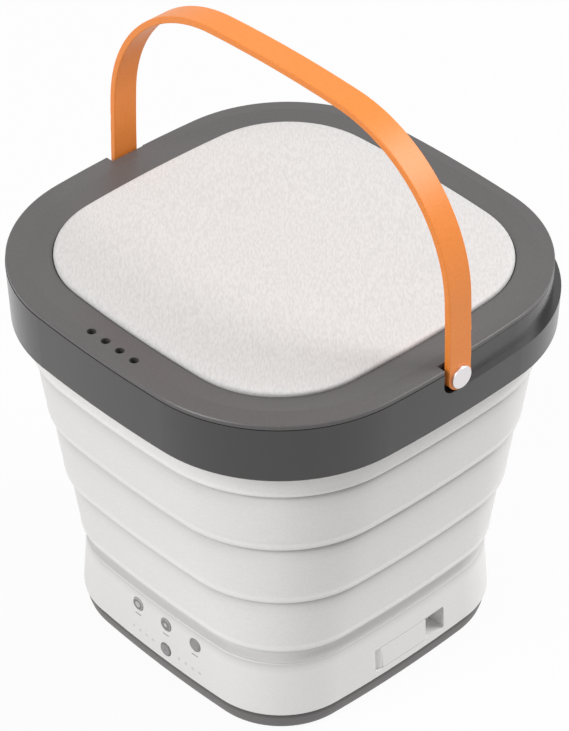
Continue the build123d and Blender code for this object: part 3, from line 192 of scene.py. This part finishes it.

# Polypropylene, moulded matt: the foot cover, flat mid grey, with painted shadow from the shell's edge on the
# top of its wall
foot = {"colour": "#6E6B6B", "above": "#474444", "roughness": 0.5, "ior": 1.49, "grain": 0.7, "height": 0.015,
        "seam": (11.0, 14.0)}
ppFoot = newSurface("ppFoot", foot)
tree, shader, where = partsOf(ppFoot)
axes = addNode(tree, "ShaderNodeSeparateXYZ", {}, {"Vector": where})
# heights over which the painted shadow under the shell fades in, darkest at the wall's top
lowest, highest = foot["seam"]
seam = addNode(tree, "ShaderNodeMapRange", {"From Min": lowest * mm, "From Max": highest * mm},
               {"Value": axes.outputs["Z"]})
ramp = addNode(tree, "ShaderNodeValToRGB", {}, {"Fac": seam.outputs["Result"]})
below, above = ramp.color_ramp.elements
below.color, above.color = linear(foot["colour"]), linear(foot["above"])
tree.links.new(ramp.outputs["Color"], shader.inputs["Base Color"])

# Polypropylene, moulded satin orange: the carrying strap, even and warm with a soft shine
ppOrange = newSurface("ppOrange", {
    "colour": "#F18E3C", "tint": "#EC8736", "roughness": 0.42, "ior": 1.49, "grain": 1.1, "height": 0.012})

# Coated fabric with a pressed leather grain: pale and matt, with fine short creases along one diagonal
leather = {
    "colour": "#DAD8D7", "tint": "#CFCDCC", "roughness": 0.62, "ior": 1.47,
    # creases: width, length over width, direction in degrees, detail; pebbles: size and share of the relief
    "across": 1.1, "stretch": 3.5, "along": 137, "detail": 2.0, "cell": 1.6, "pebbles": -0.35,
    "relief": 0.06, "strength": 0.8, "spread": (0.36, 0.62),
}
leatherPressed = newSurface("leatherPressed", leather)
tree, shader, where = partsOf(leatherPressed)
stretched = addNode(tree, "ShaderNodeMapping", {"vector_type": "TEXTURE", "Scale": (leather["stretch"], 1, 1),
                    "Rotation": (0, 0, math.radians(leather["along"]))}, {"Vector": where})
creases = addNode(tree, "ShaderNodeTexNoise",
                  {"Scale": 1 / (leather["across"] * mm), "Detail": leather["detail"]},
                  {"Vector": stretched.outputs["Vector"]})
pebbles = addNode(tree, "ShaderNodeTexVoronoi", {"Scale": 1 / (leather["cell"] * mm)},
                  {"Vector": stretched.outputs["Vector"]})
relief = addNode(tree, "ShaderNodeMath", {"operation": "MULTIPLY_ADD", 1: leather["pebbles"]},
                 {0: pebbles.outputs["Distance"], 2: creases.outputs["Fac"]})
bump = addNode(tree, "ShaderNodeBump", {"Strength": leather["strength"], "Distance": leather["relief"] * mm},
               {"Height": relief.outputs["Value"]})
tree.links.new(bump.outputs["Normal"], shader.inputs["Normal"])
ramp = addNode(tree, "ShaderNodeValToRGB", {}, {"Fac": creases.outputs["Fac"]})
dark, pale = ramp.color_ramp.elements
dark.position, pale.position = leather["spread"]
dark.color, pale.color = linear(leather["tint"]), linear(leather["colour"])
tree.links.new(ramp.outputs["Color"], shader.inputs["Base Color"])

# ABS, polished: button caps, glossy mid grey, each painted with soft rings of light and shade about its own
# centre
keys = {
    "roughness": 0.3, "ior": 1.53, "grain": 2.0, "height": 0.003, "wear": (0.27, 0.34),
    "columns": (-18.1, 6.7, 31.5), "row": 43.0, "powerRow": 23.9,
    # how far the rings' colours reach, and half of each soft edge as a share of that
    "reach": 5.0, "blur": 0.07,
    # the painted light and shade from the centre out, and where the first and second end
    "print": {
        "button_left": {"colours": ("#BEBBBB", "#757171", "#B4B1B1"), "ends": (2.1, 3.6)},
        "button_middle": {"colours": ("#C9C6C6", "#7B7777", "#A5A2A2"), "ends": (1.3, 3.7)},
        "button_right": {"colours": ("#8F8C8C", "#7D7A7A", "#A5A2A2"), "ends": (3.2, 4.0)},
        "button_power": {"colours": ("#7B7878", "#918E8E", "#807D7D"), "ends": (0.9, 3.4)},
    },
}
keyPlaces = [(column, keys["row"]) for column in keys["columns"]] + [(keys["columns"][1], keys["powerRow"])]
keyCaps = {}
for (name, cap), (x, z) in zip(keys["print"].items(), keyPlaces):
    colours = [linear(colour) for colour in cap["colours"]]
    keyCaps[name] = newSurface("absKey_" + name, {**keys, "colour": cap["colours"][1]})
    tree, shader, where = partsOf(keyCaps[name])
    centred = addNode(tree, "ShaderNodeMapping", {"Location": (-x * mm, 0, -z * mm), "Scale": (1, 0, 1)},
                      {"Vector": where})
    away = addNode(tree, "ShaderNodeVectorMath", {"operation": "LENGTH"}, {0: centred.outputs["Vector"]})
    share = addNode(tree, "ShaderNodeMath", {"operation": "DIVIDE", 1: keys["reach"] * mm},
                    {0: away.outputs["Value"]})
    ramp = addNode(tree, "ShaderNodeValToRGB", {}, {"Fac": share.outputs["Value"]})
    stops = ramp.color_ramp.elements
    first, second = [end / keys["reach"] for end in cap["ends"]]
    stops[0].position, stops[0].color = first - keys["blur"], colours[0]
    stops[1].position, stops[1].color = second + keys["blur"], colours[2]
    stops.new(first + keys["blur"]).color = colours[1]
    stops.new(second - keys["blur"]).color = colours[1]
    tree.links.new(ramp.outputs["Color"], shader.inputs["Base Color"])

# Ink, pad-printed on plastic: thin flat grey
inkGrey = newSurface("inkGrey", {
    "colour": "#A8A6A6", "tint": "#9F9D9D", "roughness": 0.55, "ior": 1.5, "grain": 0.5, "height": 0.003})

# Polycarbonate light guides, frosted and unlit: barely darker than the shell
polycarbonateFrosted = newSurface("polycarbonateFrosted", {
    "colour": "#D6D6D4", "roughness": 0.4, "ior": 1.58, "grain": 0.5, "height": 0.004, "wear": (0.35, 0.46)})

# Polypropylene, moulded satin: plain white inside the tub
ppWhite = newSurface("ppWhite", {
    "colour": "#E6E6E4", "tint": "#E0E0DE", "roughness": 0.42, "ior": 1.49, "grain": 1.2, "height": 0.01})

# ABS, polished mould: the pulsator, glossy cool pale grey
absPulsator = newSurface("absPulsator", {
    "colour": "#C9CED0", "roughness": 0.25, "ior": 1.53, "grain": 2.0, "height": 0.004, "wear": (0.2, 0.3)})

# Steel, zinc plated: screws and stamped sheet, bright grey with an uneven sheen
zincSteel = newSurface("zincSteel", {
    "colour": "#B9BABC", "tint": "#A9ABAE", "roughness": 0.34, "metallic": 1.0, "grain": 0.8, "height": 0.006,
    "wear": (0.28, 0.42)})

# Steel, ground: shaft and bearings, bright with fine rings round the axis
ground = {"colour": "#C8C9CB", "roughness": 0.2, "metallic": 1.0, "ring": 0.25, "around": 0.05, "detail": 2.0,
          "relief": 0.004}
groundSteel = newSurface("groundSteel", ground)
tree, shader, where = partsOf(groundSteel)
around = addNode(tree, "ShaderNodeMapping", {"Scale": (ground["around"], ground["around"], 1.0)},
                 {"Vector": where})
lines = addNode(tree, "ShaderNodeTexNoise", {"Scale": 1 / (ground["ring"] * mm), "Detail": ground["detail"]},
                {"Vector": around.outputs["Vector"]})
bump = addNode(tree, "ShaderNodeBump", {"Strength": 1.0, "Distance": ground["relief"] * mm},
               {"Height": lines.outputs["Fac"]})
tree.links.new(bump.outputs["Normal"], shader.inputs["Normal"])

# Electrical steel, stamped and stacked: dull grey with layer lines. The wave repeats once in 2 pi
# layers, so the lines are drawn about six times as coarse as real
stack = {"colour": "#6E6F72", "roughness": 0.45, "metallic": 1.0, "layer": 0.5, "waveRate": 20,
         "relief": 0.03}
laminatedSteel = newSurface("laminatedSteel", stack)
tree, shader, where = partsOf(laminatedSteel)
layers = addNode(tree, "ShaderNodeTexWave", {"bands_direction": "Z", "Distortion": 0.0,
                 "Scale": 1 / (stack["layer"] * mm) / stack["waveRate"]}, {"Vector": where})
bump = addNode(tree, "ShaderNodeBump", {"Strength": 1.0, "Distance": stack["relief"] * mm},
               {"Height": layers.outputs["Fac"]})
tree.links.new(bump.outputs["Normal"], shader.inputs["Normal"])

# Brass, turned: warm yellow with a soft shine
brassTurned = newSurface("brassTurned", {
    "colour": "#C9A562", "roughness": 0.28, "metallic": 1.0, "grain": 0.6, "height": 0.004,
    "wear": (0.22, 0.34)})

# Chromium plate, softly brushed: the pivot screws' caps, white metal with a blurred mirror image
satinChrome = newSurface("satinChrome", {
    "colour": "#E6E2E4", "roughness": 0.3, "metallic": 1.0, "grain": 0.5, "height": 0.006,
    "wear": (0.24, 0.36)})

# Natural rubber, moulded: dull black
rubberBlack = newSurface("rubberBlack", {
    "colour": "#1E1E1E", "tint": "#191919", "roughness": 0.75, "ior": 1.52, "grain": 0.5, "height": 0.02})

# Glass-fibre board, coated with solder resist: deep green with a wet shine
boardGreen = newSurface("boardGreen", {
    "colour": "#1D5A3A", "tint": "#174C31", "roughness": 0.3, "ior": 1.55, "grain": 1.2, "height": 0.006})

# Nylon, glass-filled and moulded: switch and socket housings, near black and half matt
nylonDark = newSurface("nylonDark", {
    "colour": "#2A2A2B", "tint": "#242425", "roughness": 0.5, "ior": 1.53, "grain": 0.7, "height": 0.01})

# Acetal, punched: washers, waxy cream white
acetalNatural = newSurface("acetalNatural", {
    "colour": "#DEDDD6", "tint": "#D7D6CF", "roughness": 0.4, "ior": 1.48, "grain": 0.9, "height": 0.005})

finish = {
    tpeMoulded: ["bellows_band_1", "bellows_band_2", "bellows_band_3"],
    tpeCollarShaded: ["bellows_upper_collar"],
    absWhite: ["base_shell", "drain_spout", "drain_housing", "rim_clamp_ring"],
    ppFoot: ["base_cover"],
    absPolishedGrey: ["rim"],
    absEtchedGrey: ["lid_frame"],
    leatherPressed: ["lid_panel"],
    ppOrange: ["handle_strap"],
    ppWhite: ["tub_floor", "lid_liner"],
    absPulsator: ["pulsator", "pulsator_cap"],
    polycarbonateFrosted: ["indicator_lights"],
    boardGreen: ["control_board"],
    nylonDark: ["button_switches", "power_inlet", "inlet_nut"],
    satinChrome: ["pivot_screws"],
    zincSteel: ["base_screws", "floor_screws", "motor_screws", "board_screws", "housing_screws", "rim_screws",
                "lid_screws", "pulsator_screw", "spout_pin", "motor_plate", "motor_can"],
    laminatedSteel: ["motor_stator", "motor_rotor"],
    groundSteel: ["drive_shaft", "shaft_bearings"],
    brassTurned: ["pivot_inserts", "handle_bushes"],
    acetalNatural: ["friction_washers"],
    rubberBlack: ["rubber_feet", "shaft_seal", "spout_seal", "lid_gasket", "drain_tube", "motor_lead",
                  "inlet_lead"],
}
finish.update({keyCaps[name]: [name] for name in keyCaps})
for material, names in finish.items():
    for name in names:
        for spot in nodes[name].material_slots:
            spot.material = material
        if not nodes[name].material_slots:
            nodes[name].data.materials.append(material)
print("materials ready,", len(finish), "finishes")


# Shapes

# Every ring is a square with slightly bowed sides and round corners; measures in mm
outline = {"bow": 850.0, "sideSteps": 14, "cornerSteps": 20}


def roundedSquare(half, corner):
    bow = outline["bow"]
    turn = math.acos((bow - half) / (bow - corner) / math.sqrt(2)) - math.pi / 4
    centre = (bow - corner) * math.sin(turn)
    quarter = []
    for step in range(outline["sideSteps"]):
        angle = turn * (2 * step / outline["sideSteps"] - 1)
        quarter.append(Vector((half - bow + bow * math.cos(angle), bow * math.sin(angle))))
    for step in range(outline["cornerSteps"]):
        angle = turn + (math.pi / 2 - 2 * turn) * step / outline["cornerSteps"]
        quarter.append(Vector((centre + corner * math.cos(angle), centre + corner * math.sin(angle))))
    return [Matrix.Rotation(math.pi / 2 * side, 2) @ point for side in range(4) for point in quarter]


def finishMesh(name, points, faces, material, body, replaced=(), sharp=35):
    mesh = bpy.data.meshes.new(name)
    mesh.from_pydata([[c * mm for c in point] for point in points], [], faces)
    mesh.shade_smooth()
    mesh.set_sharp_from_angle(angle=math.radians(sharp))
    mesh.materials.append(material)
    piece = bpy.data.objects.new(name, mesh)
    bpy.context.scene.collection.objects.link(piece)
    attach(piece, body)
    if replaced:
        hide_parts(*replaced)


def ringMesh(levels, closed=True):
    # levels are height, half width and corner radius, outside going up and inside coming down
    points, faces = [], []
    for height, half, corner in levels:
        points += [(x, y, height) for x, y in roundedSquare(half, corner)]
    count = len(points) // len(levels)
    for low in range(len(levels) if closed else len(levels) - 1):
        high = (low + 1) % len(levels)
        for at in range(count):
            after = (at + 1) % count
            faces.append((low * count + at, low * count + after, high * count + after, high * count + at))
    return points, faces


def smoothed(profile, steps=4):
    # a cubic curve through the points of a profile, with each point's slope from its two neighbours
    line = [Vector(point) for point in profile]
    curve = []
    for at in range(len(line) - 1):
        start, end = line[at], line[at + 1]
        before, after = line[max(at - 1, 0)], line[min(at + 2, len(line) - 1)]
        for step in range(steps):
            t = step / steps
            squared = (2 * before - 5 * start + 4 * end - after) * t * t
            cubed = (3 * start - before - 3 * end + after) * t ** 3
            curve.append(0.5 * (2 * start + (end - before) * t + squared + cubed))
    return curve + [line[-1]]


# Bellows: each band is a soft wall that ends in a small flared bead over the band below it
bellows = {
    "wall": 2.3, "widest": (127.3, 84.0), "step": 7.9, "cornerRate": 1.2,
    # rise above the bead's underside, and how far the outside stands in from the band's top
    "bead": [(0.0, 7.6), (0.25, 6.5), (0.8, 5.7), (1.6, 5.1), (2.6, 4.75), (3.6, 4.65), (4.6, 4.72),
             (6.0, 4.75)],
    # rise above the crease, for the wall over the bead
    "side": [(10.0, 4.25), (16.0, 3.3), (24.0, 2.15), (34.0, 0.85), (40.0, 0.2), (42.4, 0.15), (43.8, 0.6),
             (45.0, 1.5), (46.2, 2.1), (47.7, 2.3)],
    "inside": [(47.7, 2.4), (45.0, 1.7), (42.0, 0.4), (12.0, 3.2)],
    # behind the bead: rise above its underside, and the play round the band below
    "behind": (3.2, 0.5), "play": 0.4, "sharp": 50,
}
# Below its bead the lowest band has a neck, which sweeps out in a cove to the shell's top edge
neck = {
    "half": 99.6, "corner": 50.8, "bottom": 54.1, "foot": (88.0, 40.0), "tuck": 0.4,
    "cove": [(0.0, 1.9), (0.35, 1.35), (1.2, 0.75), (2.6, 0.3), (4.6, 0.05), (6.5, 0.0)],
}
# steps counts the bands above; inset and lift move a band in and its bead up from the solid's place
bands = {
    "bandUpper": {"node": "bellows_band_1", "body": "upper_band", "crease": 152.6, "steps": 0,
                  "inset": 0.4, "lift": 2.2},
    "bandMiddle": {"node": "bellows_band_2", "body": "middle_band", "crease": 107.6, "steps": 1,
                   "inset": 1.0, "lift": 1.2},
    "bandLower": {"node": "bellows_band_3", "body": "base", "crease": 62.6, "steps": 2,
                  "inset": 2.0, "lift": 1.6},
}
wall = bellows["wall"]


def bandOutline(half):
    widest, corner = bellows["widest"]
    return half, corner + (half - widest) * bellows["cornerRate"]


for name, band in bands.items():
    top = bellows["widest"][0] - band["steps"] * bellows["step"] - band["inset"]
    underside = band["crease"] + band["lift"]
    outside = [(underside + rise, draw) for rise, draw in bellows["bead"]]
    outside += [(band["crease"] + rise, draw) for rise, draw in bellows["side"]]
    levels = [(height, *bandOutline(top - draw)) for height, draw in smoothed(outside)]
    levels += [(band["crease"] + rise, *[c - wall for c in bandOutline(top - draw)])
               for rise, draw in bellows["inside"]]
    if name == "bandLower":
        half, corner, bottom = neck["half"], neck["corner"], neck["bottom"]
        cove = [(bottom + rise, half + out, corner + out) for rise, out in smoothed(neck["cove"])]
        levels = cove + [(underside - neck["tuck"], half, corner)] + levels
        levels += [(band["crease"] + wall, half - wall, corner - wall),
                   (bottom + wall, half - wall, corner - wall),
                   (bottom + wall, *neck["foot"]), (bottom, *neck["foot"])]
    else:
        below, corner = bandOutline(bellows["widest"][0] - (band["steps"] + 1) * bellows["step"])
        levels += [(underside + rise, below + bellows["play"], corner + bellows["play"])
                   for rise in bellows["behind"]]
    points, faces = ringMesh(levels)
    finishMesh(name, points, faces, tpeMoulded, band["body"], (band["node"],), bellows["sharp"])
print("bellows bands ready")

# Upper collar: the bellows' top, clamped inside the rim, with the same bead over its crease
collar = {
    "crease": 197.6, "lift": 2.3, "half": 130.3, "corner": 87.0,
    "flange": (223.6, 225.9), "flangeHalf": (135.7, 88.8),
    "profile": [(0.0, 2.5), (0.12, 1.7), (0.45, 0.85), (1.0, 0.3), (1.8, 0.1), (2.6, 0.3), (3.6, 0.7),
                (5.0, 0.8), (8.0, 0.6), (14.0, 0.25), (22.0, 0.0)],
    # behind the bead: rise above its underside, then half width and corner radius
    "behind": (2.3, 0.5), "behindHalf": (127.7, 84.4),
}
underside = collar["crease"] + collar["lift"]
levels = [(underside + rise, collar["half"] - draw, collar["corner"] - draw)
          for rise, draw in smoothed(collar["profile"])]
low, high = collar["flange"]
inside = [collar["half"] - wall, collar["corner"] - wall]
levels += [(low, *collar["flangeHalf"]), (high, *collar["flangeHalf"]), (high, *inside),
           (underside + 2 * wall, *inside)]
levels += [(underside + rise, *collar["behindHalf"]) for rise in collar["behind"]]
points, faces = ringMesh(levels)
finishMesh("upperCollar", points, faces, tpeCollarShaded, "top", ("bellows_upper_collar",),
           bellows["sharp"])

# Lid panel: a softly crowned pad with rolled edges
panel = {
    "half": 111.6, "corner": 61.7,
    # height, and how far in from the outside
    "edge": [(256.1, 0.5), (257.0, 0.05), (258.4, 0.0), (259.3, 0.3), (260.0, 1.1), (260.4, 2.6),
             (260.6, 5.0)],
    "crown": 1.1, "rings": 10, "sharp": 60,
}
levels = [(height, panel["half"] - inset, panel["corner"] - inset)
          for height, inset in smoothed(panel["edge"])]
points, faces = ringMesh(levels, closed=False)
count = len(points) // len(levels)
edgeTop, edgeHalf, edgeCorner = levels[-1]
for ring in range(1, panel["rings"]):
    share = 1 - ring / panel["rings"]
    start = len(points) - count
    rise = panel["crown"] * (1 - share ** 2)
    points += [(x * share, y * share, edgeTop + rise) for x, y in roundedSquare(edgeHalf, edgeCorner)]
    faces += [(start + at, start + (at + 1) % count, start + count + (at + 1) % count, start + count + at)
              for at in range(count)]
points.append((0, 0, edgeTop + panel["crown"]))
middle = len(points) - 1
faces += [(middle - count + at, middle - count + (at + 1) % count, middle) for at in range(count)]
faces.append(tuple(range(count))[::-1])
finishMesh("lidPad", points, faces, leatherPressed, "lid", ("lid_panel",), panel["sharp"])
print("collar and lid panel ready")

# Printed marks: a thin stroke under each of the three upper keys, on the shell's bowed and drafted face
marks = {"low": 35.0, "high": 35.8, "long": 5.0, "proud": 0.06, "sunk": 0.3}
# the shell's half width at its bottom, and how much it draws in over its height
shell = {"half": 102.9, "bottom": 15.6, "height": 38.4, "draft": 1.6}


def shellFace(x, z, out):
    # the point of the front at x and z, and this far out from it
    bow = outline["bow"]
    inset = (z - shell["bottom"]) * (shell["draft"] / shell["height"])
    return x, -(shell["half"] - inset - bow + math.sqrt(bow ** 2 - x ** 2) + out), z


low, high = marks["low"], marks["high"]
for at, x in enumerate(keys["columns"]):
    left, right = x - marks["long"] / 2, x + marks["long"] / 2
    points = [shellFace(across, up, out) for out in (marks["proud"], -marks["sunk"])
              for across, up in ((left, low), (right, low), (right, high), (left, high))]
    faces = [(0, 1, 2, 3), (7, 6, 5, 4), (0, 4, 5, 1), (1, 5, 6, 2), (2, 6, 7, 3), (3, 7, 4, 0)]
    finishMesh("printedStroke%d" % (at + 1), points, faces, inkGrey, "base")
print("printed marks ready")

# Studio: pale floor, soft light from both sides, the photograph's camera; measures in metres
studio = {
    "cameraPlace": (1.1372, -1.0553, 1.3881), "cameraAim": (-0.0098, 0.0091, 0.1668), "cameraRoll": -0.25,
    "lens": 167.6, "film": 36, "farEnd": 20, "world": 0.36, "floorSize": 8, "floorWhite": 0.95,
}
scene = bpy.context.scene
scene.view_settings.view_transform = "Standard"


def aimed(name, data, place, aim):
    # an object of the studio at its place, looking at its aim
    thing = bpy.data.objects.new(name, data)
    scene.collection.objects.link(thing)
    thing.location = place
    thing.rotation_mode = "QUATERNION"
    thing.rotation_quaternion = (Vector(aim) - thing.location).to_track_quat("-Z", "Y")
    return thing


cameraData = bpy.data.cameras.new("studioCamera")
cameraData.lens = studio["lens"]
cameraData.sensor_width = studio["film"]
cameraData.clip_end = studio["farEnd"]
camera = aimed("studioCamera", cameraData, studio["cameraPlace"], studio["cameraAim"])
roll = Quaternion((0, 0, 1), math.radians(studio["cameraRoll"]))
camera.rotation_quaternion = camera.rotation_quaternion @ roll
scene.camera = camera


def whiteWhereSeen(tree, lit, share):
    # the camera, mirrors and glass see white there, mixed by share with what the lamps light
    rays = addNode(tree, "ShaderNodeLightPath")
    seen = addNode(tree, "ShaderNodeMath", {"operation": "MAXIMUM"},
                   {0: rays.outputs["Is Camera Ray"], 1: rays.outputs["Is Glossy Ray"]})
    seen = addNode(tree, "ShaderNodeMath", {"operation": "MAXIMUM"},
                   {0: seen.outputs["Value"], 1: rays.outputs["Is Transmission Ray"]})
    part = addNode(tree, "ShaderNodeMath", {"operation": "MULTIPLY", 1: share}, {0: seen.outputs["Value"]})
    white = addNode(tree, "ShaderNodeEmission", {"Color": (1, 1, 1, 1), "Strength": 1.0})
    return addNode(tree, "ShaderNodeMixShader", {},
                   {0: part.outputs["Value"], 1: lit, 2: white.outputs["Emission"]})


world = bpy.data.worlds.new("studioWorld")
scene.world = world
world.use_nodes = True
tree = world.node_tree
tree.nodes.clear()
lit = addNode(tree, "ShaderNodeBackground", {"Color": (1, 1, 1, 1), "Strength": studio["world"]})
either = whiteWhereSeen(tree, lit.outputs["Background"], 1.0)
addNode(tree, "ShaderNodeOutputWorld", {}, {"Surface": either.outputs["Shader"]})

# Floor paint, rolled matt: pale grey that keeps the object's soft shadow
bpy.ops.mesh.primitive_plane_add(size=studio["floorSize"], location=(0, 0, 0))
floor = bpy.context.object
floor.name = "floor"
floorPaint = newSurface("floorPaint", {
    "colour": "#CFCFCF", "roughness": 0.9, "ior": 1.4, "grain": 2.0, "height": 0.01})
tree = floorPaint.node_tree
lit = tree.nodes["Principled BSDF"]
either = whiteWhereSeen(tree, lit.outputs["BSDF"], studio["floorWhite"])
tree.links.new(either.outputs["Shader"], tree.nodes["Material Output"].inputs["Surface"])
floor.data.materials.append(floorPaint)

lamps = {
    "leftLamp": {"place": (-0.5, -3.2, 2.5), "aim": (0, 0, 0.15), "size": 2.0, "watts": 92},
    "rightLamp": {"place": (1.41, 2.45, 2.98), "aim": (0, 0, 0.15), "size": 2.0, "watts": 122},
}
for name, lamp in lamps.items():
    lampData = bpy.data.lights.new(name, "AREA")
    lampData.energy, lampData.size, lampData.shape = lamp["watts"], lamp["size"], "SQUARE"
    aimed(name, lampData, lamp["place"], lamp["aim"])
print("studio ready")
